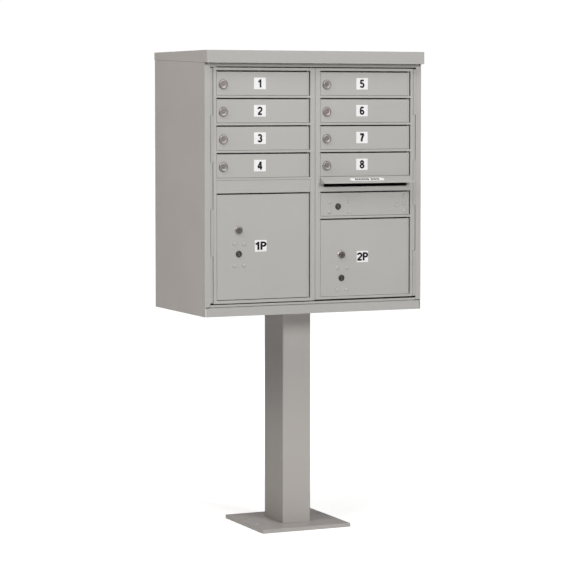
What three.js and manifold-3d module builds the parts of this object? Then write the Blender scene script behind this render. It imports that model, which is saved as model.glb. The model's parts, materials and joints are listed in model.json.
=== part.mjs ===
// Pedestal-mounted cluster mailbox unit: eight tenant doors, two parcel lockers
// and an outgoing-mail slot in one outdoor cabinet, built as separate solids.
//
// Millimetres. X to the right as seen from the front, Y towards the back, Z up.
// Origin: centre of the base plate's underside.

import * as THREE from 'three';
import { mergeVertices } from 'three/addons/utils/BufferGeometryUtils.js';
import Module from 'manifold-3d';

const wasm = await Module();
wasm.setup();

// ---------------------------------------------------------------- dimensions
const GAP = 0.4;                 // between pieces that touch on the real unit

// cabinet envelope
const WIDTH = 774.7;             // over the roof hood
const HEIGHT = 1574.8;           // floor to the top of the hood
const FACE_Y = -219;             // plane of the doors and door frames
const BACK_Y = 219;
const SIDE_X = 386.5;            // outer face of the side panels
const SHEET = 3;                 // cabinet sheet
const CABINET_BOTTOM = 724;

// roof hood
const HOOD_FRONT_Y = -243;
const HOOD_BACK_Y = 224.5;
const HOOD_RIM_FRONT = 1534.2;   // lower edge of the rim at the front
const HOOD_RIM_BACK = 1550.6;    // and at the back
const HOOD_TOP_BACK = 1574.8;    // the top is level
const rimZ = (y) => HOOD_RIM_FRONT
  + (y - HOOD_FRONT_Y) * (HOOD_RIM_BACK - HOOD_RIM_FRONT) / (HOOD_BACK_Y - HOOD_FRONT_Y);

// pedestal
const PLATE = 317.5;             // square base plate
const PLATE_T = 12.7;
const ANCHOR_X = 131;
const ANCHOR_Y = 51;
const ANCHOR_R = 7.5;
const POST_X = 101.6;
const POST_Y = 152.4;
const POST_WALL = 4.8;
const FLANGE_T = 12;
const BOLT_X = 90;
const BOLT_Y = 100;

// floor pan, sill and header
const FLOOR_Z = 752.8;           // top of the floor sheet
const LIP_TOP = 762.3;
const TOP_SHEET_Z = 1530.6;
const HEADER_BOTTOM = 1523.1;

// master doors
const FRAME_DEPTH = 14;
const FRAME_BOTTOM = 766;
const FRAME_TOP = 1519.5;
const LEFT_FRAME_BOTTOM = 765.5;
const RIGHT_FRAME_BOTTOM = 767.5;
const FRAME_OUTER_X = 356.3;
const MEETING_GAP = 1.0;         // between the two master doors
const MASTER_PIN_X = 362;
const PIN_Y = -213.8;            // every door hinge axis lies in this plane
const BARREL_R = 4.8;
const ROD_R = 2.2;
const BORE_R = 2.7;

// door columns; the right one repeats the left one
const COLUMN_SHIFT = 364.4;
const COLUMN_LEFT = -345.6;       // left edge of the left column's openings
const COLUMN_RIGHT = -17.1;       // right edge of the same
const COLUMN_PIN_X = -24.6;
const DOOR_LEFT = -320.3;        // free edge, from the hinge axis
const DOOR_T = 3.2;
const ROW_TOP = 1510.8;          // top of the first opening
const ROW_PITCH = 87.7;
const OPENING_H = 80.2;
const TOP_GAP = 4.4;             // door to opening, at the top
const BOTTOM_GAP = 0.8;
const SMALL_DOOR_H = OPENING_H - TOP_GAP - BOTTOM_GAP;
const LOWER_TOP = 1118.6;        // top of the parcel 1 and carrier openings
const LOWER_BOTTOM = 775.6;
const PARCEL_2_TOP = 1030.9;

// outgoing-mail slot
const SLOT_BOTTOM = 1134;
const SLOT_TOP = 1158;

// compartment sheets
const SHELF_T = 2;
const INNER_FRONT_Y = -194;
const shelfZ = (i) => ROW_TOP - ROW_PITCH * i - (OPENING_H + ROW_PITCH) / 2;

// tenant locks
const LOCK_FROM_EDGE = 22.2;
const LOCK_BELOW_TOP = 40.4;

// ------------------------------------------------------------------- helpers
function solid(geometry) {
  const g = geometry.clone();
  g.deleteAttribute('normal');
  g.deleteAttribute('uv');
  const m = mergeVertices(g, 1e-4);
  return new wasm.Manifold(new wasm.Mesh({
    numProp: 3,
    vertProperties: new Float32Array(m.attributes.position.array),
    triVerts: new Uint32Array(m.index.array),
  }));
}

function geometryOf(body) {
  const mesh = body.getMesh();
  const g = new THREE.BufferGeometry();
  g.setAttribute('position', new THREE.BufferAttribute(new Float32Array(mesh.vertProperties), 3));
  g.setIndex(new THREE.BufferAttribute(new Uint32Array(mesh.triVerts), 1));
  const flat = g.toNonIndexed();
  flat.computeVertexNormals();
  return flat;
}

function box(x0, x1, y0, y1, z0, z1) {
  const g = new THREE.BoxGeometry(x1 - x0, y1 - y0, z1 - z0);
  g.translate((x0 + x1) / 2, (y0 + y1) / 2, (z0 + z1) / 2);
  return solid(g);
}

// cylinder along Z or Y; a flat of the polygon never lies on the axis planes
function rodZ(x, y, r, z0, z1, n = 16) {
  const g = new THREE.CylinderGeometry(r, r, z1 - z0, n);
  g.rotateX(Math.PI / 2);
  g.translate(x, y, (z0 + z1) / 2);
  return solid(g);
}

function rodY(x, z, r, y0, y1, n = 20) {
  const g = new THREE.CylinderGeometry(r, r, y1 - y0, n);
  g.translate(x, (y0 + y1) / 2, z);
  return solid(g);
}

function polygon(points) {
  return new THREE.Shape(points.map(([a, b]) => new THREE.Vector2(a, b)));
}

function rect(x0, x1, z0, z1) {
  return [[x0, z0], [x1, z0], [x1, z1], [x0, z1]];
}

// outline in X and Z, given thickness in Y from y0 to y1
function plateXZ(points, y0, y1, { holes = [], bevel = 0 } = {}) {
  const shape = polygon(points);
  for (const h of holes) shape.holes.push(polygon(h));
  const g = new THREE.ExtrudeGeometry(shape, {
    depth: y1 - y0 - 2 * bevel,
    bevelEnabled: bevel > 0,
    bevelThickness: bevel,
    bevelSize: bevel,
    bevelOffset: -bevel,
    bevelSegments: 1,
  });
  g.rotateX(Math.PI / 2);
  g.translate(0, y1 - bevel, 0);
  return solid(g);
}

// outline in Y and Z, given thickness in X from x0 to x1
function plateYZ(points, x0, x1) {
  const g = new THREE.ExtrudeGeometry(polygon(points), { depth: x1 - x0, bevelEnabled: false });
  g.rotateX(Math.PI / 2);
  g.rotateZ(Math.PI / 2);
  g.translate(x0, 0, 0);
  return solid(g);
}

// outline in X and Y, from z0 to z1
function plateXY(points, z0, z1, holes = []) {
  const shape = polygon(points);
  for (const h of holes) shape.holes.push(polygon(h));
  const g = new THREE.ExtrudeGeometry(shape, { depth: z1 - z0, bevelEnabled: false });
  g.translate(0, 0, z0);
  return solid(g);
}

function circle(cx, cy, r, n = 12) {
  const p = [];
  for (let i = 0; i < n; i += 1) {
    const a = 2 * Math.PI * (i + 0.5) / n;
    p.push([cx + r * Math.cos(a), cy + r * Math.sin(a)]);
  }
  return p;
}

function roundedRect(hx, hy, r, n = 3) {
  const p = [];
  for (const [sx, sy, a0] of [[1, 1, 0], [-1, 1, 90], [-1, -1, 180], [1, -1, 270]]) {
    for (let i = 0; i <= n; i += 1) {
      const a = (a0 + 90 * i / n) * Math.PI / 180;
      p.push([sx * (hx - r) + r * Math.cos(a), sy * (hy - r) + r * Math.sin(a)]);
    }
  }
  return p;
}

// solid of revolution about the Y axis
function turned(profile, n = 18) {
  return solid(new THREE.LatheGeometry(profile.map(([r, y]) => new THREE.Vector2(r, y)), n));
}

const unite = (first, ...rest) => rest.reduce((a, b) => a.add(b), first);
const cut = (first, ...rest) => rest.reduce((a, b) => a.subtract(b), first);
const common = (a, b) => a.intersect(b);

const unit = new THREE.Group();
unit.name = 'cluster_mailbox_unit';

function group(name, x = 0, y = 0, z = 0, parent = unit) {
  const g = new THREE.Group();
  g.name = name;
  g.position.set(x, y, z);
  parent.add(g);
  return g;
}

function piece(name, geometry, finish, parent = unit) {
  const [color, roughness, metalness] = finish;
  const mesh = new THREE.Mesh(geometry, new THREE.MeshStandardMaterial({ color, roughness, metalness }));
  mesh.name = name;
  parent.add(mesh);
  return mesh;
}

const COAT = [0xb5b4ac, 0.48, 0.1];        // warm grey powder coat
const POST_COAT = [0xa8a49d, 0.5, 0.1];
const GALVANISED = [0xb9bbbc, 0.42, 0.9];
const LOCK_STEEL = [0xc3bcba, 0.3, 0.95];
const DARK_STEEL = [0x4c4847, 0.42, 0.9];
const ROD_STEEL = [0x9a9b9c, 0.35, 0.95];

// ------------------------------------------------------------------ pedestal
const pedestal = group('pedestal');

const anchors = [];
for (const sx of [-1, 1]) for (const sy of [-1, 1]) anchors.push(circle(sx * ANCHOR_X, sy * ANCHOR_Y, ANCHOR_R));
piece('pedestal_base_plate', geometryOf(plateXY(
  rect(-PLATE / 2, PLATE / 2, -PLATE / 2, PLATE / 2), 0, PLATE_T, anchors)), POST_COAT, pedestal);

// the post is a rectangular tube, closed on top by the flange welded to it
const flangeTop = FLOOR_Z - SHEET - GAP;
const flangeBottom = flangeTop - FLANGE_T;
let post = plateXY(roundedRect(POST_X / 2, POST_Y / 2, 5), PLATE_T + GAP, flangeBottom + 1);
post = cut(post, plateXY(roundedRect(POST_X / 2 - POST_WALL, POST_Y / 2 - POST_WALL, 3),
  PLATE_T, flangeBottom));
post = unite(post, plateXY(roundedRect(118, 125, 6, 2), flangeBottom, flangeTop));
for (const sx of [-1, 1]) for (const sy of [-1, 1]) {
  post = cut(post, rodZ(sx * BOLT_X, sy * BOLT_Y, 6.7, flangeBottom - 1, flangeTop + 1));
}
piece('pedestal_post', geometryOf(post), POST_COAT, pedestal);

// hex bolt with its nut run up: head above the floor sheet, nut under the flange
const bolt = unite(
  rodZ(0, 0, 6, flangeBottom - 14, FLOOR_Z + 1, 14),
  rodZ(0, 0, 10.6, FLOOR_Z + GAP, FLOOR_Z + 8.2, 6),
  rodZ(0, 0, 10.6, flangeBottom - GAP - 9.6, flangeBottom - GAP, 6),
);
const boltGeometry = geometryOf(bolt);
[[-1, -1], [1, -1], [-1, 1], [1, 1]].forEach(([sx, sy], i) => {
  const m = piece(`pedestal_bolt_${i + 1}`, boltGeometry.clone(), GALVANISED, pedestal);
  m.position.set(sx * BOLT_X, sy * BOLT_Y, 0);
});

// ------------------------------------------------------------------- cabinet
const cabinet = group('cabinet');
const innerX = SIDE_X - SHEET - GAP;               // between the side sheets
const flangeX = 368.1;                             // inner edge of the side panels' front flange

const sillX = SIDE_X - SHEET - 2.2;                // the sill stops short of the side sheets
const SILL_SETBACK = 0.8;                          // side sheets' front edge beside the sill
const SILL_GROOVE = 2.8;

// floor: one folded sheet with the sill turned down in front and a low lip above it
let floor = unite(
  box(-sillX, sillX, FACE_Y + 1, FACE_Y + 5.5, FLOOR_Z - SHEET, FLOOR_Z),
  box(-innerX, innerX, FACE_Y + 4.5, BACK_Y - SHEET - GAP, FLOOR_Z - SHEET, FLOOR_Z),
  box(-sillX, sillX, FACE_Y, FACE_Y + SHEET, CABINET_BOTTOM, FLOOR_Z),
  box(-(flangeX - GAP), flangeX - GAP, FACE_Y, FACE_Y + 5, FLOOR_Z - 1, LIP_TOP),
);
floor = cut(floor, box(-(flangeX + 1), flangeX + 1, FACE_Y - 1, FACE_Y + 3.9, FLOOR_Z, FLOOR_Z + SILL_GROOVE));
for (const sx of [-1, 1]) for (const sy of [-1, 1]) {
  floor = cut(floor, rodZ(sx * BOLT_X, sy * BOLT_Y, 6.7, FLOOR_Z - SHEET - 1, FLOOR_Z + 1));
}
piece('floor_pan', geometryOf(floor), COAT, cabinet);

// header and ceiling under the hood
piece('top_pan', geometryOf(unite(
  box(-innerX, innerX, FACE_Y + SHEET + GAP, BACK_Y - SHEET - GAP, TOP_SHEET_Z, TOP_SHEET_Z + SHEET),
  box(-(flangeX - GAP), flangeX - GAP, FACE_Y, FACE_Y + SHEET + GAP + 1, TOP_SHEET_Z, TOP_SHEET_Z + SHEET),
  box(-(flangeX - GAP), flangeX - GAP, FACE_Y, FACE_Y + SHEET, HEADER_BOTTOM, TOP_SHEET_Z + SHEET),
  // the header comes lower over the left door's hinge stile
  box(-(flangeX - GAP), COLUMN_LEFT, FACE_Y, FACE_Y + SHEET, FRAME_TOP + 0.6, HEADER_BOTTOM + 1),
)), COAT, cabinet);

piece('back_panel', geometryOf(plateXZ(
  rect(-innerX, innerX, CABINET_BOTTOM + 0.5, 1562), BACK_Y - SHEET, BACK_Y, { bevel: 0.5 })), COAT, cabinet);

// hinge knuckles of the master doors, cabinet's and door's in turn
const KNUCKLE_BOTTOM = 768;
const KNUCKLE_TOP = 1518;
const KNUCKLE_H = (KNUCKLE_TOP - KNUCKLE_BOTTOM) / 5;
const knuckleSpan = (i) => [KNUCKLE_BOTTOM + i * KNUCKLE_H + 0.3, KNUCKLE_BOTTOM + (i + 1) * KNUCKLE_H - 0.3];

// side panel: sheet, front flange, hinge knuckles with the pin staked into them,
// and a ledge under each shelf; side is -1 on the left and 1 on the right
function sidePanel(side) {
  const s = (a, b) => (side < 0 ? [-b, -a] : [a, b]);
  let body = plateYZ([[FACE_Y + SILL_SETBACK, CABINET_BOTTOM], [BACK_Y, CABINET_BOTTOM],
    [BACK_Y, rimZ(BACK_Y) - 0.5], [FACE_Y, rimZ(FACE_Y) - 0.5],
    [FACE_Y, FLOOR_Z + SILL_GROOVE], [FACE_Y + SILL_SETBACK, FLOOR_Z + SILL_GROOVE]], ...s(SIDE_X - SHEET, SIDE_X));
  body = unite(body, box(...s(flangeX, SIDE_X - 1), FACE_Y, FACE_Y + SHEET, FLOOR_Z + SILL_GROOVE, HOOD_RIM_FRONT - 0.2));
  body = cut(body, box(...s(SIDE_X - SHEET - 6.5, SIDE_X - SHEET), FACE_Y - 1, FACE_Y + SHEET + 1,
    HOOD_RIM_FRONT - 5, HOOD_RIM_FRONT + 1));        // relief at the fold under the hood
  for (const i of [0, 2, 4]) {
    const [z0, z1] = knuckleSpan(i);
    body = unite(body,
      rodZ(side * MASTER_PIN_X, PIN_Y, BARREL_R, z0, z1, 16),
      box(...s(MASTER_PIN_X, flangeX + 4), FACE_Y + 1.3, FACE_Y + 4.1, z0, z1));
  }
  body = unite(body, box(...s(MASTER_PIN_X + 5.1, flangeX + 4), FACE_Y + 1.3, FACE_Y + 4.1, KNUCKLE_BOTTOM, KNUCKLE_TOP));
  body = unite(body, rodZ(side * MASTER_PIN_X, PIN_Y, ROD_R, KNUCKLE_BOTTOM + 20, KNUCKLE_TOP - 20, 12));
  const ledges = [0, 1, 2, 3].map(shelfZ);
  if (side > 0) ledges.push((PARCEL_2_TOP + LOWER_TOP - OPENING_H) / 2);
  for (const z of ledges) {
    const top = z - SHELF_T / 2 - GAP;
    body = unite(body, box(...s(SIDE_X - SHEET - 9, SIDE_X - 1), INNER_FRONT_Y + 14, BACK_Y - SHEET - 6, top - 2, top));
  }
  return body;
}
piece('left_side_panel', geometryOf(sidePanel(-1)), COAT, cabinet);
piece('right_side_panel', geometryOf(sidePanel(1)), COAT, cabinet);

// roof hood: a tray turned upside down, its rim deeper in front, with a return
// flange closing the overhang
const hx = WIDTH / 2;
let hood = plateYZ([[HOOD_FRONT_Y, HOOD_RIM_FRONT], [HOOD_BACK_Y, HOOD_RIM_BACK],
  [HOOD_BACK_Y, HOOD_TOP_BACK - 1.5], [HOOD_BACK_Y - 1.5, HOOD_TOP_BACK],
  [HOOD_FRONT_Y + 1.5, HEIGHT], [HOOD_FRONT_Y, HEIGHT - 1.5]], -hx, hx);
hood = cut(hood, plateYZ([[HOOD_FRONT_Y + SHEET, HOOD_RIM_FRONT + SHEET], [FACE_Y + SHEET, HOOD_RIM_FRONT + SHEET],
  [FACE_Y + SHEET, 1500], [HOOD_BACK_Y - SHEET, 1500],
  [HOOD_BACK_Y - SHEET, HOOD_TOP_BACK - SHEET], [HOOD_FRONT_Y + SHEET, HEIGHT - SHEET]],
  -(hx - SHEET), hx - SHEET));
// rounded vertical corners
const hoodPlan = (x0, x1, y0, y1, rf, rb) => [[x0 + rf, y0 + rf, rf, 180], [x1 - rf, y0 + rf, rf, 270],
  [x1 - rb, y1 - rb, rb, 0], [x0 + rb, y1 - rb, rb, 90]].flatMap(([cx, cy, r, a0]) => [0, 1, 2, 3, 4, 5].map((k) => {
  const a = (a0 + 18 * k) * Math.PI / 180;
  return [cx + r * Math.cos(a), cy + r * Math.sin(a)];
}));
hood = common(hood, plateXY(hoodPlan(-hx, hx, HOOD_FRONT_Y, HOOD_BACK_Y, 5, 4), 1500, 1600));
const nip = 2.4;                                   // clipped lower corners of the rim's ends
for (const sx of [-1, 1]) {
  hood = cut(hood, plateXZ([[sx * (hx - nip), HOOD_RIM_FRONT - 1], [sx * (hx + 1), HOOD_RIM_FRONT - 1],
    [sx * (hx + 1), HOOD_RIM_FRONT + nip + 1], [sx * hx, HOOD_RIM_FRONT + nip]], HOOD_FRONT_Y - 1, HOOD_FRONT_Y + SHEET + 2));
}
piece('roof_hood', geometryOf(hood), COAT, cabinet);

// compartments: a centre partition and shelves slotted into each other
const midY = 10;
const rightShelfZ = (PARCEL_2_TOP + LOWER_TOP - OPENING_H) / 2;
let partition = box(-1, 1, INNER_FRONT_Y, BACK_Y - SHEET - 1, FLOOR_Z + GAP, TOP_SHEET_Z - GAP);
for (let i = 0; i < 4; i += 1) {
  partition = cut(partition, box(-5, 5, midY, BACK_Y, shelfZ(i) - SHELF_T / 2 - 0.3, shelfZ(i) + SHELF_T / 2 + 0.3));
}
partition = unite(partition, box(0.5, 10, INNER_FRONT_Y + 14, BACK_Y - SHEET - 6,
  rightShelfZ - SHELF_T / 2 - GAP - 2, rightShelfZ - SHELF_T / 2 - GAP));
piece('centre_partition', geometryOf(partition), GALVANISED, cabinet);

for (let i = 0; i < 4; i += 1) {
  const z = shelfZ(i);
  const w = innerX;
  piece(`shelf_row_${i + 1}`, geometryOf(plateXY([[-w, INNER_FRONT_Y], [-1.4, INNER_FRONT_Y], [-1.4, midY + 0.4],
    [1.4, midY + 0.4], [1.4, INNER_FRONT_Y], [w, INNER_FRONT_Y], [w, BACK_Y - SHEET - GAP], [-w, BACK_Y - SHEET - GAP]],
  z - SHELF_T / 2, z + SHELF_T / 2)), GALVANISED, cabinet);
}
piece('outgoing_shelf', geometryOf(box(1.4, innerX, INNER_FRONT_Y, BACK_Y - SHEET - GAP,
  rightShelfZ - SHELF_T / 2, rightShelfZ + SHELF_T / 2)), GALVANISED, cabinet);

// -------------------------------------------------------------- master doors
// One frame per column. shift moves the left column's openings to the right one.
function masterFrame(side, shift, bottom, cutouts) {
  const meet = MEETING_GAP / 2;
  const [x0, x1] = side < 0 ? [-FRAME_OUTER_X, -meet] : [meet, FRAME_OUTER_X];
  let body = plateXZ(rect(x0, x1, bottom, FRAME_TOP), FACE_Y, FACE_Y + FRAME_DEPTH,
    { holes: cutouts, bevel: 0.5 });
  for (const i of [1, 3]) {
    const [z0, z1] = knuckleSpan(i);
    const pin = side * MASTER_PIN_X;
    body = unite(body,
      rodZ(pin, PIN_Y, BARREL_R, z0, z1, 16),
      box(Math.min(pin, side * (FRAME_OUTER_X - 1)), Math.max(pin, side * (FRAME_OUTER_X - 1)),
        FACE_Y + 1.3, FACE_Y + 4.1, z0, z1));
    body = cut(body, rodZ(pin, PIN_Y, BORE_R, z0 - 1, z1 + 1, 12));
  }
  body = unite(body, box(...(side < 0 ? [-(MASTER_PIN_X - 5.1), 1 - FRAME_OUTER_X] : [FRAME_OUTER_X - 1, MASTER_PIN_X - 5.1]),
    FACE_Y + 1.3, FACE_Y + 4.1, bottom + 1, FRAME_TOP - 1));
  return cut(body, rodZ(COLUMN_PIN_X + shift, PIN_Y, 2.6, FRAME_BOTTOM + 3.4, FRAME_TOP + 1, 12));
}

const opening = (shift, bottom, top) => rect(COLUMN_LEFT + shift, COLUMN_RIGHT + shift, bottom, top);
const rowOpenings = (shift) => [0, 1, 2, 3].map((i) => opening(shift,
  ROW_TOP - ROW_PITCH * i - OPENING_H, ROW_TOP - ROW_PITCH * i));

const BLANK_TOP = 1160.7;
let leftFrame = masterFrame(-1, 0, LEFT_FRAME_BOTTOM, [...rowOpenings(0), opening(0, LOWER_BOTTOM, LOWER_TOP)]);
leftFrame = cut(leftFrame, box(COLUMN_LEFT, COLUMN_RIGHT, FACE_Y - 1, FACE_Y + 2.3, LOWER_TOP - 1, BLANK_TOP));

const LATCH_STUDS = [1426.8, 1146, 900];
const LATCH_X = 10;
const LATCH_TRAVEL = 12;
let rightFrame = masterFrame(1, COLUMN_SHIFT, RIGHT_FRAME_BOTTOM, [...rowOpenings(COLUMN_SHIFT),
  rect(31, 334, SLOT_BOTTOM, SLOT_TOP),
  opening(COLUMN_SHIFT, LOWER_TOP - OPENING_H, LOWER_TOP),
  opening(COLUMN_SHIFT, LOWER_BOTTOM, PARCEL_2_TOP)]);
for (const z of LATCH_STUDS) {
  rightFrame = unite(rightFrame, rodY(LATCH_X, z, 2.6, FACE_Y + FRAME_DEPTH - 2, FACE_Y + 22.8, 12),
    rodY(LATCH_X, z, 4.6, FACE_Y + 22.2, FACE_Y + 23.6, 12));
}
const leftMaster = group('left_master');
const rightMaster = group('right_master');
piece('left_master_door', geometryOf(leftFrame), COAT, leftMaster);
piece('right_master_door', geometryOf(rightFrame), COAT, rightMaster);

piece('blank_panel', geometryOf(plateXZ(rect(COLUMN_LEFT + 0.5, COLUMN_RIGHT - 0.5, LOWER_TOP, BLANK_TOP - 0.9),
  FACE_Y, FACE_Y + 2, { bevel: 0.4 })), COAT, leftMaster);

piece('left_column_hinge_rod', geometryOf(rodZ(COLUMN_PIN_X, PIN_Y, ROD_R, FRAME_BOTTOM + 3.8, FRAME_TOP - 2, 12)),
  ROD_STEEL, leftMaster);
piece('right_column_hinge_rod', geometryOf(rodZ(COLUMN_PIN_X + COLUMN_SHIFT, PIN_Y, ROD_R,
  FRAME_BOTTOM + 3.8, FRAME_TOP - 2, 12)), ROD_STEEL, rightMaster);

// rain hood over the outgoing-mail slot
const HOOD_X0 = COLUMN_LEFT + COLUMN_SHIFT + 0.3;
const HOOD_X1 = COLUMN_RIGHT + COLUMN_SHIFT - 0.5;
const awning = [[FACE_Y - 0.3, 1166.8], [FACE_Y - 28.5, 1150.2], [FACE_Y - 30.7, 1147.2], [FACE_Y - 30.7, 1145.6],
  [FACE_Y - 0.3, 1145.6]];
const awningInner = [[FACE_Y + 1, 1165.6], [FACE_Y - 27.3, 1148.6], [FACE_Y - 28.6, 1146.8], [FACE_Y - 28.6, 1140],
  [FACE_Y + 1, 1140]];
piece('outgoing_slot_hood', geometryOf(cut(plateYZ(awning.slice().reverse(), HOOD_X0, HOOD_X1),
  plateYZ(awningInner.slice().reverse(), HOOD_X0 + 2, HOOD_X1 - 2))), COAT, rightMaster);

// sliding latch bar behind the right door's meeting edge
const LATCH_Y0 = FACE_Y + 18.8;
const latchSlot = (z) => {
  const p = [];
  for (let i = 0; i <= 6; i += 1) { const a = Math.PI * i / 6; p.push([LATCH_X + 3.1 * Math.cos(a), z + 0.4 + 3.1 * Math.sin(a)]); }
  for (let i = 0; i <= 6; i += 1) { const a = Math.PI + Math.PI * i / 6; p.push([LATCH_X + 3.1 * Math.cos(a), z - LATCH_TRAVEL - 0.4 + 3.1 * Math.sin(a)]); }
  return p;
};
piece('master_latch_bar', geometryOf(plateXZ([[3, 790], [17, 790], [17, 1058], [32, 1058], [32, 1082], [17, 1082],
  [17, 1513], [14, 1516], [6, 1516], [3, 1513]], LATCH_Y0, LATCH_Y0 + 3,
{ holes: LATCH_STUDS.map(latchSlot) })), GALVANISED, rightMaster);

// --------------------------------------------------------------------- doors
// Door leaf, drawn about its hinge axis with z = 0 at its top edge.
const FACE = FACE_Y - PIN_Y;                       // front face, from the hinge axis
function leaf(height, bores) {
  let body = unite(
    plateXZ(rect(DOOR_LEFT, -5.4, -height, 0), FACE, FACE + DOOR_T, { bevel: 0.5 }),
    box(-7, -1, FACE + 1.2, FACE + DOOR_T - 0.2, -height + 0.3, -0.3),
    rodZ(0, 0, BARREL_R, -height, 0, 16),
  );
  body = cut(body, rodZ(0, 0, BORE_R, -height - 1, 1, 12));
  for (const [x, z, r] of bores) body = cut(body, rodY(x, z, r, FACE - 1, FACE + DOOR_T + 1, 16));
  return body;
}

// cam lock: bezel, barrel and nut in one turned body; the plug carries the cam
const tenantLockBody = geometryOf(turned([[6.3, -4.3], [9.4, -4.7], [11.6, -5.6], [13.4, -5.2], [14.9, -3.6], [15.5, -0.35], [9.5, -0.35], [9.5, 3.6],
  [12.8, 3.6], [12.8, 6.4], [9.5, 6.4], [9.5, 13.6], [6.3, 13.6], [6.3, -4.3]], 18));

// head, where given, is the radius of the plug's face, which then stands in front of its boss; thick is its depth
function plug(front, cam, head = 0, thick = 1.4) {
  const face = head
    ? [[0, front], [head - 0.8, front], [head, front + 0.6], [head, front + thick], [5.8, front + thick]]
    : [[0, front], [5.2, front], [5.8, front + 0.6]];
  const body = unite(
    turned([...face, [5.8, 13.9], [4.8, 13.9], [4.8, 18.1], [0, 18.1]], head ? 20 : 12),
    plateXZ(cam, 14.5, 16.9),
  );
  return cut(body, box(-0.6, 0.6, front - 1, front + 2.2, -3.6, 3.6));
}

// lever outline about the lock axis, pointing along -Z, turned by quarter turns
function lever(length, quarterTurns) {
  const p = [[-6.5, 3], [-4, 6.5], [4, 6.5], [6.5, 3], [6.5, -8], [4.6, -length + 1.5], [3.4, -length],
    [-3.4, -length], [-4.6, -length + 1.5], [-6.5, -8]];
  const turn = ([x, z]) => [-z, x];                // -Z to +X
  return p.map((q) => { let v = q; for (let i = 0; i < quarterTurns; i += 1) v = turn(v); return v; }).reverse();
}

const tenantPlug = geometryOf(plug(-5, lever(31, 0)));
const LOCK_X = DOOR_LEFT + LOCK_FROM_EDGE;
const tenantLeaf = geometryOf(leaf(SMALL_DOOR_H, [[LOCK_X, -LOCK_BELOW_TOP, 9.9]]));

for (let n = 1; n <= 8; n += 1) {
  const right = n > 4;
  const row = (n - 1) % 4;
  const g = group(`compartment_${n}`, COLUMN_PIN_X + (right ? COLUMN_SHIFT : 0), PIN_Y,
    ROW_TOP - ROW_PITCH * row - TOP_GAP, right ? rightMaster : leftMaster);
  piece(`tenant_door_${n}`, tenantLeaf.clone(), COAT, g);
  const lock = group(`tenant_lock_${n}`, LOCK_X, FACE, -LOCK_BELOW_TOP, g);
  piece(`tenant_lock_body_${n}`, tenantLockBody.clone(), LOCK_STEEL, lock);
  piece(`tenant_lock_plug_${n}`, tenantPlug.clone(), LOCK_STEEL, lock);
}

// parcel lockers: a lock case behind the door with two bosses through it
const PARCEL_LOCK_X = DOOR_LEFT + 75.6;
const PARCEL_LOCK_BELOW_TOP = 115.2;
const SECOND_LOCK = -75.5;
const parcelCase = geometryOf(cut(
  unite(
    plateXZ(rect(-23, 23, SECOND_LOCK - 42, 20), DOOR_T + 0.35, 13.4, { bevel: 0.6 }),
    turned([[0, -3.4], [12.4, -3.4], [13.8, -2.4], [14.2, -0.8], [14.2, 4.5], [0, 4.5]], 20),
    turned([[0, -0.9], [9.8, -0.9], [10.2, -0.5], [10.2, 4.5], [0, 4.5]], 20).translate([0, 0, SECOND_LOCK]),
  ),
  rodY(0, 0, 6.3, -6, 20, 14), rodY(0, SECOND_LOCK, 6.3, -6, 20, 14)));
const parcelUpperPlug = geometryOf(plug(-6.4, lever(83, 2), 10.4, 2.7));
const parcelLowerPlug = geometryOf(plug(-2.6, lever(20, 1), 10.4));

[[1, 0, LOWER_TOP, leftMaster, 2], [2, COLUMN_SHIFT, PARCEL_2_TOP, rightMaster, BOTTOM_GAP]].forEach(([n, shift, top, parent, below]) => {
  const height = top - LOWER_BOTTOM - TOP_GAP - below;
  const g = group(`parcel_locker_${n}`, COLUMN_PIN_X + shift, PIN_Y, top - TOP_GAP, parent);
  piece(`parcel_door_${n}`, geometryOf(leaf(height, [[PARCEL_LOCK_X, -PARCEL_LOCK_BELOW_TOP, 14.6],
    [PARCEL_LOCK_X, -PARCEL_LOCK_BELOW_TOP + SECOND_LOCK, 10.6]])), COAT, g);
  const lock = group(`parcel_lock_${n}`, PARCEL_LOCK_X, FACE, -PARCEL_LOCK_BELOW_TOP, g);
  piece(`parcel_lock_case_${n}`, parcelCase.clone(), LOCK_STEEL, lock);
  piece(`parcel_upper_plug_${n}`, parcelUpperPlug.clone(), LOCK_STEEL, lock);
  const lower = piece(`parcel_lower_plug_${n}`, parcelLowerPlug.clone(), DARK_STEEL, lock);
  lower.position.z = SECOND_LOCK;
});

// carrier's access door below the outgoing slot
const carrier = group('carrier_access', COLUMN_PIN_X + COLUMN_SHIFT, PIN_Y, LOWER_TOP - TOP_GAP, rightMaster);
const CARRIER_LOCK_X = DOOR_LEFT + 63.4;
const CARRIER_LOCK_BELOW_TOP = 44.7;
piece('carrier_door', geometryOf(leaf(SMALL_DOOR_H, [[CARRIER_LOCK_X, -CARRIER_LOCK_BELOW_TOP, 10.6]])), COAT, carrier);
const carrierLock = group('carrier_lock', CARRIER_LOCK_X, FACE, -CARRIER_LOCK_BELOW_TOP, carrier);
piece('carrier_lock_case', geometryOf(cut(
  unite(
    plateXZ(rect(-39.5, 46.5, -23.5, 21.5), DOOR_T + 0.35, 13.4, { bevel: 0.6 }),
    turned([[0, -0.9], [9.8, -0.9], [10.2, -0.5], [10.2, 4.5], [0, 4.5]], 20),
  ),
  rodY(0, 0, 6.3, -6, 20, 16))), DARK_STEEL, carrierLock);
piece('carrier_lock_plug', geometryOf(plug(-2.6, lever(54, 1), 10)), DARK_STEEL, carrierLock);

export default unit;
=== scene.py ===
import json
import math
import random

import bpy
import bmesh
from mathutils import Matrix, Vector


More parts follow.
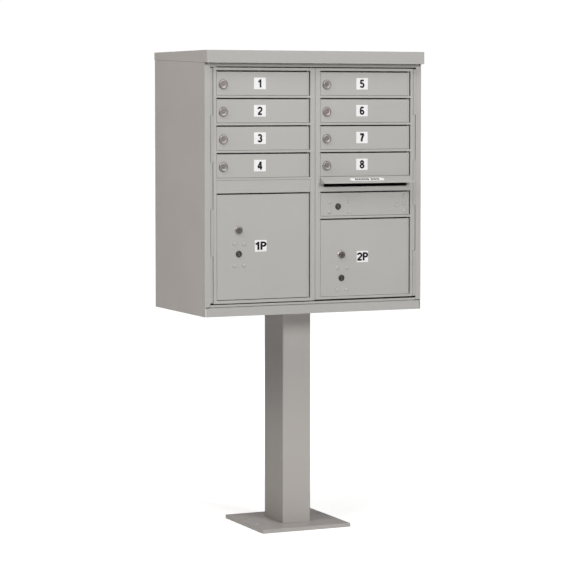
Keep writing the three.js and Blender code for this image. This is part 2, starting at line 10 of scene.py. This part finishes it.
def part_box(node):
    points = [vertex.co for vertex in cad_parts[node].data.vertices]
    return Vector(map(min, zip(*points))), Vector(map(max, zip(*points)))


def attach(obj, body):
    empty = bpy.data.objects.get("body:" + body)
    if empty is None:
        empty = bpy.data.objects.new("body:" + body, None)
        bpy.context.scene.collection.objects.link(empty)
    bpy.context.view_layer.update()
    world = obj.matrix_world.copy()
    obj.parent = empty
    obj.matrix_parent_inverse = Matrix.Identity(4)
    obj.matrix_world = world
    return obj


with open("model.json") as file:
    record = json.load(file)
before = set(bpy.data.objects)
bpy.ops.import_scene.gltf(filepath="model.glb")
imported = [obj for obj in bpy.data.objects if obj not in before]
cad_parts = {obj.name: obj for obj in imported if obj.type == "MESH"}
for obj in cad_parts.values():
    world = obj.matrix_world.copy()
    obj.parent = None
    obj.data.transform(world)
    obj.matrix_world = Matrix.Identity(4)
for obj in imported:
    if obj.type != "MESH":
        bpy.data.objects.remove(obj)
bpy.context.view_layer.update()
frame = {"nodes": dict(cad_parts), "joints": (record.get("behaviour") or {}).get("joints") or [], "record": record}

random.seed(7)
MM = 0.001
NODES = frame["nodes"]
scene = bpy.context.scene


# ------------------------------------------------------------------ materials
class Mat:
    """A Principled material with small helpers for procedural patterns."""

    def __init__(self, name, rough, metal, spec=0.5):
        self.m = bpy.data.materials.new(name)
        self.m.use_nodes = True
        self.t = self.m.node_tree
        self.n = self.t.nodes
        self.b = next(n for n in self.n if n.type == "BSDF_PRINCIPLED")
        self.b.inputs["Roughness"].default_value = rough
        self.b.inputs["Metallic"].default_value = metal
        self.b.inputs["Specular IOR Level"].default_value = spec
        self.c = self.n.new("ShaderNodeTexCoord").outputs["Object"]

    def link(self, a, b):
        self.t.links.new(a, b)

    def mapping(self, scale=(1, 1, 1), rot=(0, 0, 0)):
        m = self.n.new("ShaderNodeMapping")
        m.inputs["Scale"].default_value = scale
        m.inputs["Rotation"].default_value = rot
        self.link(self.c, m.inputs["Vector"])
        return m.outputs["Vector"]

    def noise(self, scale, detail=2, rough=0.5, vec=None, distortion=0.0):
        n = self.n.new("ShaderNodeTexNoise")
        n.inputs["Scale"].default_value = scale
        n.inputs["Detail"].default_value = detail
        n.inputs["Roughness"].default_value = rough
        n.inputs["Distortion"].default_value = distortion
        self.link(vec or self.c, n.inputs["Vector"])
        return n.outputs["Fac"]

    def ramp(self, fac, stops):
        r = self.n.new("ShaderNodeValToRGB")
        e = r.color_ramp.elements
        while len(e) < len(stops):
            e.new(0.5)
        for k, (p, c) in zip(e, stops):
            k.position = p
            k.color = (*c, 1) if len(c) == 3 else c
        self.link(fac, r.inputs["Fac"])
        return r.outputs["Color"]

    def maprange(self, fac, a, b, lo=0.0, hi=1.0):
        r = self.n.new("ShaderNodeMapRange")
        r.inputs["From Min"].default_value = lo
        r.inputs["From Max"].default_value = hi
        r.inputs["To Min"].default_value = a
        r.inputs["To Max"].default_value = b
        self.link(fac, r.inputs["Value"])
        return r.outputs["Result"]

    def mix(self, fac, a, b, kind="MIX"):
        m = self.n.new("ShaderNodeMix")
        m.data_type = "RGBA"
        m.blend_type = kind
        for v, i in ((fac, "Factor"), (a, 6), (b, 7)):
            s = m.inputs[i]
            if isinstance(v, (int, float)):
                s.default_value = v
            elif isinstance(v, tuple):
                s.default_value = (*v, 1)
            else:
                self.link(v, s)
        return m.outputs[2]

    def bump(self, height, strength, distance, normal=None):
        b = self.n.new("ShaderNodeBump")
        b.inputs["Strength"].default_value = strength
        b.inputs["Distance"].default_value = distance
        self.link(height, b.inputs["Height"])
        if normal is not None:
            self.link(normal, b.inputs["Normal"])
        return b.outputs["Normal"]

    def color(self, out):
        self.link(out, self.b.inputs["Base Color"])

    def rough(self, out):
        self.link(out, self.b.inputs["Roughness"])

    def normal(self, out):
        self.link(out, self.b.inputs["Normal"])


def shade(c, k):
    return tuple(min(1.0, v * k) for v in c)


def powder_coat(name, base, dusty=0.0, gloss=0.0, front=None):
    """Baked powder coat: faint cloudy tone, fine speckle and an orange-peel skin.

    front is the painted light and shade tone of the faces that look forward or back, where it differs: a lighter or
    darker copy of the same paint, chosen by which way the face looks."""
    m = Mat(name, 0.5, 0.0, 0.42)
    cloud = m.noise(3.5, 3, 0.6)
    tone = m.ramp(cloud, [(0.3, shade(base, 0.972)), (0.7, shade(base, 1.022))])
    speck = m.noise(900, 2, 0.6)
    dots = m.maprange(speck, 0.0, 0.05, 0.55, 0.75)
    tone = m.mix(dots, tone, shade(base, 0.86))
    if dusty:
        streak = m.noise(9, 4, 0.65, m.mapping((5.0, 5.0, 0.5)))
        tone = m.mix(m.maprange(streak, 0.0, dusty, 0.5, 0.8), tone, shade((base[0], base[1] * 0.985, base[2] * 0.96), 0.9))
    # painted light and shade: faces that look forward or back get the front tone, the other faces get the base tone
    if front:
        split = m.n.new("ShaderNodeSeparateXYZ")
        m.link(next(n for n in m.n if n.type == "TEX_COORD").outputs["Normal"], split.inputs["Vector"])
        painted_facing_mask = m.n.new("ShaderNodeMath")
        painted_facing_mask.operation = "ABSOLUTE"
        m.link(split.outputs["Y"], painted_facing_mask.inputs[0])
        painted_face_tone = m.mix(dots, m.ramp(cloud, [(0.3, shade(front, 0.972)), (0.7, shade(front, 1.022))]), shade(front, 0.86))
        tone = m.mix(m.maprange(painted_facing_mask.outputs["Value"], 0.0, 1.0, 0.35, 0.85), tone, painted_face_tone)
    m.color(tone)
    m.rough(m.maprange(m.noise(14, 3), 0.44 - gloss, 0.55 - gloss, 0.3, 0.7))
    peel = m.noise(520, 1, 0.4)
    grain = m.noise(2200, 1, 0.5)
    m.normal(m.bump(peel, 0.22, 0.00006, m.bump(grain, 0.18, 0.00003)))
    return m.m


def zinc_sheet(name, base):
    """Zinc-coated sheet: soft spangle with a rolled grain."""
    m = Mat(name, 0.4, 0.9)
    v = m.n.new("ShaderNodeTexVoronoi")
    v.inputs["Scale"].default_value = 85
    m.link(m.c, v.inputs["Vector"])
    bw = m.n.new("ShaderNodeRGBToBW")
    m.link(v.outputs["Color"], bw.inputs["Color"])
    tone = m.ramp(bw.outputs["Val"], [(0.1, shade(base, 0.88)), (0.9, shade(base, 1.06))])
    m.color(m.mix(0.35, tone, m.ramp(m.noise(30, 4), [(0.3, shade(base, 0.9)), (0.7, base)])))
    m.rough(m.maprange(bw.outputs["Val"], 0.34, 0.5))
    m.normal(m.bump(m.noise(500, 2, 0.5, m.mapping((0.15, 1, 1))), 0.15, 0.00004))
    return m.m


def turned_metal(name, base, rough, grain=1600, wear=0.0):
    """Plated or bare turned metal with fine tool marks and light handling marks."""
    m = Mat(name, rough, 0.95)
    fine = m.noise(grain, 2, 0.6)
    tone = m.ramp(fine, [(0.3, shade(base, 0.93)), (0.7, shade(base, 1.05))])
    if wear:
        tone = m.mix(m.maprange(m.noise(260, 4, 0.7), 0.0, wear, 0.5, 0.72), tone, shade(base, 0.6))
    m.color(tone)
    m.rough(m.maprange(m.noise(340, 3), rough - 0.07, rough + 0.1, 0.3, 0.7))
    m.normal(m.bump(fine, 0.12, 0.00002))
    return m.m


COAT_RGB = (0.476, 0.469, 0.447)
# painted light: a lighter copy of the coat for faces that look sideways; faces that look forward or back keep the
# coat's own tone
SIDE_PAINTED_LIGHT_RGB = (0.543, 0.521, 0.497)
# painted light and shade on the post: its sides get a darker copy and its front and back a lighter copy of one paint
POST_SIDE_PAINTED_SHADE_RGB = (0.396, 0.377, 0.358)
POST_FRONT_PAINTED_LIGHT_RGB = (0.496, 0.472, 0.450)
coat = powder_coat("powder_coat_front", COAT_RGB)
painted_light_side_coat = powder_coat("powder_coat_painted_light_sides", SIDE_PAINTED_LIGHT_RGB, 0.12, front=COAT_RGB)
painted_light_and_shade_post_coat = powder_coat("powder_coat_painted_light_and_shade_post", POST_SIDE_PAINTED_SHADE_RGB, 0.12, front=POST_FRONT_PAINTED_LIGHT_RGB)
# painted light and shade on the roof hood: its sides take the lighter side copy and its front a darker copy of the coat
painted_light_and_shade_hood_coat = powder_coat("powder_coat_painted_light_and_shade_hood", SIDE_PAINTED_LIGHT_RGB, 0.12, front=shade(COAT_RGB, 0.945))
# painted shadow: the header strip under the hood's lip is a darker copy of the coat, standing in for the hood's shadow
painted_shadow_header_coat = powder_coat("powder_coat_painted_shadow_header", shade(COAT_RGB, 0.80))
# painted highlight: the rivet heads take a lighter copy of the door coat
painted_highlight_rivet_coat = powder_coat("powder_coat_painted_highlight_rivets", shade(COAT_RGB, 1.05))
# painted light and shade on the base plate: its top is darker, as shaded under the cabinet, and its front edges take a
# lighter copy of the post's front tone
painted_shade_plate_coat = powder_coat("powder_coat_painted_shade_plate", (0.412, 0.388, 0.370), 0.12, gloss=0.15, front=shade(POST_FRONT_PAINTED_LIGHT_RGB, 0.95))
zinc = zinc_sheet("zinc_sheet", (0.56, 0.57, 0.58))
nickel = turned_metal("satin_nickel", (0.355, 0.324, 0.316), 0.47, wear=0.25)
plug_nickel = turned_metal("plug_nickel", (0.285, 0.256, 0.247), 0.46, wear=0.3)
worn_nickel = turned_metal("worn_nickel", (0.16, 0.143, 0.136), 0.4, wear=0.35)
bright_nickel = turned_metal("bright_nickel", (0.60, 0.565, 0.55), 0.44, wear=0.2)
dark_steel = turned_metal("dark_lock_steel", (0.085, 0.078, 0.074), 0.36, wear=0.3)
rod = turned_metal("hinge_rod", (0.52, 0.52, 0.53), 0.3)

for name, o in NODES.items():
    if name.startswith("parcel_upper_plug"):
        mat = worn_nickel
    elif name.startswith("tenant_lock_plug"):
        mat = plug_nickel
    elif name.startswith(("tenant_lock", "parcel_lock_case")):
        mat = nickel
    elif name.startswith(("parcel_lower_plug", "carrier_lock")):
        mat = dark_steel
    elif "hinge_rod" in name:
        mat = rod
    elif name.startswith(("centre_partition", "shelf_row", "outgoing_shelf", "pedestal_bolt", "master_latch")):
        mat = zinc
    elif name == "pedestal_base_plate":
        mat = painted_shade_plate_coat
    elif name.startswith("pedestal"):
        mat = painted_light_and_shade_post_coat
    elif name == "roof_hood":
        mat = painted_light_and_shade_hood_coat
    elif name == "top_pan":
        mat = painted_shadow_header_coat
    elif name in ("left_side_panel", "right_side_panel", "back_panel"):
        mat = painted_light_side_coat
    else:
        mat = coat
    for s in o.material_slots:
        s.material = mat


def soften(o, width, segments=2, angle=32):
    """Small radius on the folded and cut edges of a CAD node."""
    w = o.modifiers.new("weld", "WELD")
    w.merge_threshold = 0.00001
    d = o.modifiers.new("planar", "DECIMATE")
    d.decimate_type = "DISSOLVE"
    d.angle_limit = math.radians(1.0)
    b = o.modifiers.new("edge", "BEVEL")
    b.width = width
    b.segments = segments
    b.limit_method = "ANGLE"
    b.angle_limit = math.radians(angle)
    b.harden_normals = False
    b.use_clamp_overlap = True


# ------------------------------------------------------------- small pieces
def new_object(name, mesh, mat, body, smooth=True):
    o = bpy.data.objects.new(name, mesh)
    scene.collection.objects.link(o)
    mesh.materials.append(mat)
    if smooth:
        for p in mesh.polygons:
            p.use_smooth = True
    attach(o, body)
    return o


def body_of(node):
    for b, names in frame["record"]["behaviour"]["bodies"].items():
        if node in names:
            return b
    raise KeyError(node)


def face(node):
    """Free edge, top edge and front plane of a door."""
    lo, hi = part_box(node)
    return lo[0], hi[2], lo[1], lo[2]


# rivet heads: low domes with a small flat rim
def rivet_mesh(name, r=0.0066, h=0.0034, n=36):
    bm = bmesh.new()
    rings = [(r * 0.97, 0.0004), (r, 0.0), (r * 0.985, -0.00045), (r * 0.93, -h * 0.40), (r * 0.82, -h * 0.63),
             (r * 0.66, -h * 0.81), (r * 0.46, -h * 0.93), (r * 0.22, -h * 0.99)]
    loops = []
    for rr, y in rings:
        loops.append([bm.verts.new((rr * math.cos(2 * math.pi * k / n), y, rr * math.sin(2 * math.pi * k / n)))
                      for k in range(n)])
    for a, b in zip(loops, loops[1:]):
        for k in range(n):
            bm.faces.new((a[k], b[k], b[(k + 1) % n], a[(k + 1) % n]))
    bm.faces.new(loops[-1])
    bm.faces.new(list(reversed(loops[0])))
    bmesh.ops.recalc_face_normals(bm, faces=bm.faces)
    me = bpy.data.meshes.new(name)
    bm.to_mesh(me)
    bm.free()
    return me


def rivet(name, x, y, z, body):
    me = rivet_mesh(name)
    me.transform(Matrix.Translation((x, y - 0.00005, z)))
    return new_object(name, me, painted_highlight_rivet_coat, body)


for d in (1, 2):
    x, top, y, _ = face(f"parcel_door_{d}")
    for i, (dx, dz) in enumerate(((60.4, -157.5), (93.4, -157.5), (60.4, -227.8), (93.4, -227.8))):
        rivet(f"parcel_{d}_rivet_{i + 1}", x + dx * MM, y, top + dz * MM, f"parcel_{d}")
x, top, y, _ = face("carrier_door")
for i, (dx, dz) in enumerate(((31.7, -29.6), (102.3, -29.6), (31.7, -61.8), (102.3, -61.8),
                              (305.0, -13.0), (305.0, -37.5), (305.0, -62.4), (275.1, -44.0))):
    rivet(f"carrier_rivet_{i + 1}", x + dx * MM, y, top + dz * MM, "carrier_access")


# number plates: thin rounded plates with raised digits
def plate_mesh(name, w, h, t, r=0.0012, n=4):
    bm = bmesh.new()
    pts = []
    for sx, sz, a0 in ((1, 1, 0), (-1, 1, 90), (-1, -1, 180), (1, -1, 270)):
        for k in range(n + 1):
            a = math.radians(a0 + 90 * k / n)
            pts.append((sx * (w / 2 - r) + r * math.cos(a), sz * (h / 2 - r) + r * math.sin(a)))
    lip = 0.00018

    def ring(inset, y):
        return [bm.verts.new((px - math.copysign(inset, px), y, pz - math.copysign(inset, pz))) for px, pz in pts]

    rings = [ring(0, 0), ring(0, -t + lip), ring(lip, -t)]
    for a, b in zip(rings, rings[1:]):
        for k in range(len(pts)):
            j = (k + 1) % len(pts)
            bm.faces.new((a[k], b[k], b[j], a[j]))
    bm.faces.new(rings[-1])
    bm.faces.new(list(reversed(rings[0])))
    bmesh.ops.recalc_face_normals(bm, faces=bm.faces)
    me = bpy.data.meshes.new(name)
    bm.to_mesh(me)
    bm.free()
    return me


vinyl = Mat("white_vinyl", 0.32, 0.0, 0.5)
vinyl.color(vinyl.ramp(vinyl.noise(60, 4, 0.6), [(0.3, (0.905, 0.90, 0.905)), (0.7, (0.955, 0.95, 0.955))]))
vinyl.rough(vinyl.maprange(vinyl.noise(120, 3), 0.26, 0.4))
vinyl.normal(vinyl.bump(vinyl.noise(700, 1), 0.08, 0.00003))
ink = Mat("black_ink", 0.5, 0.0, 0.2)
ink.color(ink.ramp(ink.noise(400, 3), [(0.3, (0.006, 0.006, 0.0065)), (0.7, (0.014, 0.014, 0.015))]))
ink.rough(ink.maprange(ink.noise(300, 2), 0.38, 0.55))


def arc(cx, cz, rx, rz, a0, a1, n=14):
    return [(cx + rx * math.cos(math.radians(a0 + (a1 - a0) * k / n)),
             cz + rz * math.sin(math.radians(a0 + (a1 - a0) * k / n))) for k in range(n + 1)]


# plain bold characters as strokes in a box one unit tall
GLYPHS = {
    "1": [[(0.33, 0.0), (0.33, 1.0)], [(0.31, 0.90), (0.21, 0.76), (0.04, 0.70)]],
    "2": [arc(0.31, 0.68, 0.225, 0.225, 172, -28) + [(0.13, 0.16)], [(0.03, 0.09), (0.57, 0.09)]],
    "3": [arc(0.29, 0.71, 0.20, 0.20, 158, -90), arc(0.29, 0.295, 0.225, 0.205, 90, -160)],
    "4": [[(0.38, 0.95), (0.07, 0.33), (0.05, 0.29)], [(0.02, 0.29), (0.60, 0.29)], [(0.42, 0.0), (0.42, 0.99)]],
    "5": [[(0.12, 0.91), (0.54, 0.91)], [(0.15, 0.97), (0.11, 0.50)], arc(0.295, 0.325, 0.225, 0.235, 142, -160)],
    "6": [arc(0.31, 0.70, 0.20, 0.215, 28, 150) + arc(0.31, 0.48, 0.225, 0.30, 165, 200, 5), arc(0.31, 0.30, 0.21, 0.215, 0, 360, 24)],
    "7": [[(0.04, 0.91), (0.58, 0.91)], [(0.53, 0.88), (0.38, 0.62), (0.27, 0.30), (0.23, 0.0)]],
    "8": [arc(0.31, 0.735, 0.175, 0.18, 0, 360, 22), arc(0.31, 0.285, 0.215, 0.20, 0, 360, 24)],
    "P": [[(0.11, 0.0), (0.11, 1.0)], [(0.05, 0.91), (0.33, 0.91)] + arc(0.34, 0.69, 0.20, 0.22, 90, -90) + [(0.08, 0.47)]],
}
GLYPH_W = {"1": 0.50, "P": 0.62}


def stroke(bm, path, half, place):
    """A flat band of constant width along a path, mitred at its corners, with a little thickness."""
    n = len(path)
    closed = abs(path[0][0] - path[-1][0]) < 1e-6 and abs(path[0][1] - path[-1][1]) < 1e-6 and n > 3
    rails = []
    for k, (x, z) in enumerate(path):
        p = path[k - 1] if k > 0 else (path[-2] if closed else None)
        q = path[k + 1] if k < n - 1 else (path[1] if closed else None)
        d1 = Vector((x - p[0], z - p[1])).normalized() if p else None
        d2 = Vector((q[0] - x, q[1] - z)).normalized() if q else None
        d = ((d1 or d2) + (d2 or d1)).normalized()
        c = max(0.45, d.dot(d1 or d2))
        off = Vector((-d.y, d.x)) * (half / c)
        rails.append([bm.verts.new(place(x + s * off.x, z + s * off.y, t)) for s, t in ((1, 0), (1, 1), (-1, 1), (-1, 0))])
    for a, b in zip(rails, rails[1:]):
        for k in range(4):
            bm.faces.new((a[k], a[(k + 1) % 4], b[(k + 1) % 4], b[k]))
    if not closed:
        bm.faces.new(rails[0])
        bm.faces.new(list(reversed(rails[-1])))


def digits(name, text, cx, cz, y, height, weight, body, stretch=1.0):
    widths = [GLYPH_W.get(ch, 0.62) for ch in text]
    total = sum(widths) + 0.05 * (len(text) - 1)
    bm = bmesh.new()
    x0 = -total / 2
    for ch, w in zip(text, widths):
        for i, path in enumerate(GLYPHS[ch]):
            lift = 0.00022 + 0.00001 * i
            half = weight / 2 * (0.86 if ch in "12345689P" else 1.0)
            stroke(bm, path, half,
                   lambda u, v, t, x0=x0, lift=lift: (cx + (x0 + u) * height * stretch, y - lift * t, cz + (v - 0.5) * height))
        x0 += w + 0.05
    bmesh.ops.recalc_face_normals(bm, faces=bm.faces)
    me = bpy.data.meshes.new(name)
    bm.to_mesh(me)
    bm.free()
    return new_object(name, me, ink.m, body, smooth=False)


LABEL_T = 0.0007
for d in range(1, 9):
    x, top, y, bottom = face(f"tenant_door_{d}")
    cx, cz = x + 0.1496, (top + bottom) / 2 + 0.0005
    me = plate_mesh(f"number_plate_{d}", 0.0415, 0.0375, LABEL_T)
    me.transform(Matrix.Translation((cx, y + 0.00005, cz)))
    new_object(f"number_plate_{d}", me, vinyl.m, f"tenant_{d}", smooth=False)
    digits(f"number_{d}", str(d), cx, cz, y - LABEL_T + 0.00010, 0.0262, 0.262, f"tenant_{d}")
for d in (1, 2):
    x, top, y, bottom = face(f"parcel_door_{d}")
    cx, cz = x + 0.1520, (top + bottom) / 2 + 0.0025
    me = plate_mesh(f"parcel_plate_{d}", 0.0415, 0.0375, LABEL_T)
    me.transform(Matrix.Translation((cx, y + 0.00005, cz)))
    new_object(f"parcel_plate_{d}", me, vinyl.m, f"parcel_{d}", smooth=False)
    digits(f"parcel_number_{d}", f"{d}P", cx, cz, y - LABEL_T + 0.00010, 0.0262, 0.256, f"parcel_{d}", 1.25 if d == 1 else 1.16)

# blank strip with greeked bars on the sloping face of the slot's rain hood
lo_h, hi_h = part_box("outgoing_slot_hood")
top_p, low_p = Vector((0, hi_h[1], hi_h[2])), Vector((0, lo_h[1] + 0.0022, lo_h[2] + 0.0046))
slope = (low_p - top_p).normalized()
outward = Vector((0, slope.z, -slope.y))
if outward.y > 0:
    outward = -outward
mid = top_p + slope * 0.0180
tilt = Matrix(((1, 0, 0), (0, -outward.y, -slope.y), (0, -outward.z, -slope.z))).to_4x4()
strip = plate_mesh("outgoing_strip", 0.123, 0.0160, 0.0006, r=0.006)
strip_x = (lo_h[0] + hi_h[0]) / 2 - 0.0022
strip.transform(Matrix.Translation((strip_x, mid.y, mid.z)) @ tilt)
new_object("outgoing_strip", strip, vinyl.m, "right_master", smooth=False)
bm = bmesh.new()
u = -0.0437
widths = [0.0052, 0.0036, 0.0048, 0.0030, 0.0055, 0.0042, 0.0034, 0.0050, None, 0.0046, 0.0036, 0.0052, 0.0030, 0.0048]
for k, w in enumerate(widths):
    if w is None:
        u += 0.0052
        continue
    h = 0.0096 if k % 3 else 0.0108
    rows = [[bm.verts.new((u + a * w, -0.00062 + t * 0.0003 - 0.00012, b * h)) for a, b in ((0, -.5), (1, -.5), (1, .5), (0, .5))] for t in (0, 1)]
    bm.faces.new(rows[0])
    bm.faces.new(list(reversed(rows[1])))
    for q in range(4):
        bm.faces.new((rows[0][q], rows[1][q], rows[1][(q + 1) % 4], rows[0][(q + 1) % 4]))
    u += w + 0.0021
bmesh.ops.recalc_face_normals(bm, faces=bm.faces)
me = bpy.data.meshes.new("outgoing_bars")
bm.to_mesh(me)
bm.free()
me.transform(Matrix.Translation((strip_x, mid.y, mid.z)) @ tilt)
new_object("outgoing_bars", me, ink.m, "right_master", smooth=False)


# rims around the keyways of the dark locks
def keyway(name, node, body, height=0.0105, width=0.0034, wall=0.0009, mat=nickel):
    lo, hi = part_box(node)
    j = next(q for q in frame["joints"].values() if q["child"] == body) if isinstance(frame["joints"], dict) else \
        next(q for q in frame["joints"] if q["child"] == body)
    cx, _, cz = j["pos_m"] if "pos_m" in j else j["pos"]
    y = lo[1]
    n = 6
    bm = bmesh.new()

    def outline(w, h):
        r = w / 2
        pts = []
        for sign, a0 in ((1, 0), (-1, 180)):
            for k in range(n + 1):
                a = math.radians(a0 + 180 * k / n)
                pts.append((r * math.cos(a), sign * (h / 2 - r) + r * math.sin(a)))
        return pts

    rings = []
    for (w, h), yy in (((width, height), 0.00005), ((width, height), -0.00025), ((width - 2 * wall, height - 2 * wall), -0.00025),
                       ((width - 2 * wall, height - 2 * wall), 0.00005)):
        rings.append([bm.verts.new((cx + px, y + yy, cz + pz)) for px, pz in outline(w, h)])
    for a, b in zip(rings, rings[1:] + rings[:1]):
        for k in range(len(a)):
            j2 = (k + 1) % len(a)
            bm.faces.new((a[k], b[k], b[j2], a[j2]))
    bmesh.ops.recalc_face_normals(bm, faces=bm.faces)
    me = bpy.data.meshes.new(name)
    bm.to_mesh(me)
    bm.free()
    return new_object(name, me, mat, body)


# polished ring around the upper boss of each parcel lock
def ring(name, cx, cz, y, body, profile, n=48):
    bm = bmesh.new()
    loops = [[bm.verts.new((cx + rr * MM * math.cos(2 * math.pi * k / n), y + yy * MM, cz + rr * MM * math.sin(2 * math.pi * k / n)))
              for k in range(n)] for rr, yy in profile]
    for a, b in zip(loops, loops[1:] + loops[:1]):
        for k in range(n):
            bm.faces.new((a[k], b[k], b[(k + 1) % n], a[(k + 1) % n]))
    bmesh.ops.recalc_face_normals(bm, faces=bm.faces)
    me = bpy.data.meshes.new(name)
    bm.to_mesh(me)
    bm.free()
    return new_object(name, me, bright_nickel, body, smooth=False)


for d in (1, 2):
    x, top, y, _ = face(f"parcel_door_{d}")
    ring(f"parcel_{d}_upper_ring", x + 75.6 * MM, top - 115.2 * MM, y, f"parcel_{d}",
         ((13.6, -0.15), (14.55, -0.15), (14.55, -0.8), (14.25, -1.6), (12.9, -3.5), (12.3, -3.85), (11.6, -3.85), (11.4, -3.2), (12.0, -2.6)))
for d in (1, 2):
    keyway(f"parcel_{d}_lower_keyway", f"parcel_lower_plug_{d}", f"parcel_cam_{d}")
keyway("carrier_keyway", "carrier_lock_plug", "carrier_lever")

# small radii on folded and cut edges
for name, o in NODES.items():
    if name.startswith(("tenant_lock", "parcel_upper", "parcel_lower", "parcel_lock", "carrier_lock", "pedestal_bolt")):
        soften(o, 0.00035, 2, 28)
    elif name == "roof_hood":
        soften(o, 0.0016, 3)
    elif name in ("pedestal_base_plate", "floor_pan", "back_panel"):
        soften(o, 0.0009, 2)
    elif name.startswith(("left_side", "right_side", "top_pan", "left_master", "right_master", "tenant_door", "parcel_door",
                          "carrier_door", "blank", "outgoing_slot")):
        soften(o, 0.0005, 2)

# --------------------------------------------------------------------- stage
floor_mesh = bpy.data.meshes.new("studio_floor")
floor_mesh.from_pydata([(-40, -40, 0), (40, -40, 0), (40, 60, 0), (-40, 60, 0)], [], [(0, 1, 2, 3)])
floor = bpy.data.objects.new("studio_floor", floor_mesh)
scene.collection.objects.link(floor)
fm = Mat("studio_floor", 0.9, 0.0, 0.1)
fm.b.inputs["Base Color"].default_value = (0.94, 0.94, 0.94, 1)
# pale sweep: the floor brightens softly away from the unit
glow = fm.n.new("ShaderNodeEmission")
dist = fm.n.new("ShaderNodeVectorMath")
dist.operation = "LENGTH"
fm.link(fm.c, dist.inputs[0])
fm.link(fm.maprange(dist.outputs["Value"], 0.50, 1.0, 0.3, 3.0), glow.inputs["Strength"])
path = fm.n.new("ShaderNodeLightPath")
add = fm.n.new("ShaderNodeAddShader")
mixs = fm.n.new("ShaderNodeMixShader")
outn = next(n for n in fm.n if n.type == "OUTPUT_MATERIAL")
fm.link(fm.b.outputs["BSDF"], add.inputs[0])
fm.link(glow.outputs["Emission"], add.inputs[1])
fm.link(path.outputs["Is Camera Ray"], mixs.inputs["Fac"])
fm.link(fm.b.outputs["BSDF"], mixs.inputs[1])
fm.link(add.outputs["Shader"], mixs.inputs[2])
fm.link(mixs.outputs["Shader"], outn.inputs["Surface"])
floor_mesh.materials.append(fm.m)

world = bpy.data.worlds.new("studio")
scene.world = world
world.use_nodes = True
wn, wl = world.node_tree.nodes, world.node_tree.links
bg = wn["Background"]
bg.inputs["Color"].default_value = (1, 1, 1, 1)
wp = wn.new("ShaderNodeLightPath")
wm = wn.new("ShaderNodeMapRange")
wm.inputs["To Min"].default_value = 0.06
wm.inputs["To Max"].default_value = 1.02
wl.new(wp.outputs["Is Camera Ray"], wm.inputs["Value"])
wl.new(wm.outputs["Result"], bg.inputs["Strength"])


def area(name, azimuth, elevation, distance, size, power, color=(1, 1, 1), target=(0, 0, 1.0)):
    """A softbox aimed at the unit; azimuth 0 is straight in front, 90 is at its right."""
    l = bpy.data.lights.new(name, "AREA")
    l.shape = "RECTANGLE"
    l.size, l.size_y = size
    l.energy = power
    l.color = color
    o = bpy.data.objects.new(name, l)
    scene.collection.objects.link(o)
    a, e = math.radians(azimuth), math.radians(elevation)
    loc = Vector((target[0] + distance * math.cos(e) * math.sin(a), target[1] - distance * math.cos(e) * math.cos(a),
                  target[2] + distance * math.sin(e)))
    o.location = loc
    o.rotation_euler = (Vector(target) - loc).to_track_quat("-Z", "Y").to_euler()
    return o


WARM = (1.0, 0.965, 0.94)
area("key", 13, 20, 5.5, (1.6, 1.5), 126)
area("top", 0, 60, 4.5, (2.4, 1.6), 42)
area("left_high", -66.4, 42.5, 4.74, (2.2, 2.2), 82, WARM)
area("left_side", -90, 30, 4.5, (1.8, 1.8), 26, WARM)
area("back", 170, 35, 5.0, (2.2, 2.2), 60)
scene.view_settings.view_transform = "Standard"
scene.view_settings.look = "None"

# -------------------------------------------------------------------- camera
cam_data = bpy.data.cameras.new("camera")
cam = bpy.data.objects.new("camera", cam_data)
scene.collection.objects.link(cam)
cam_data.sensor_width = 36
cam_data.lens = 2305.4 * 36 / 576
cam_data.shift_y = -52 / 576
cam_data.clip_start, cam_data.clip_end = 0.1, 200
cam.location = (-3.1606, -6.9981, 1.4043)
cam.rotation_euler = (math.radians(90 - 3.283), 0, math.radians(-24.323))
scene.camera = cam
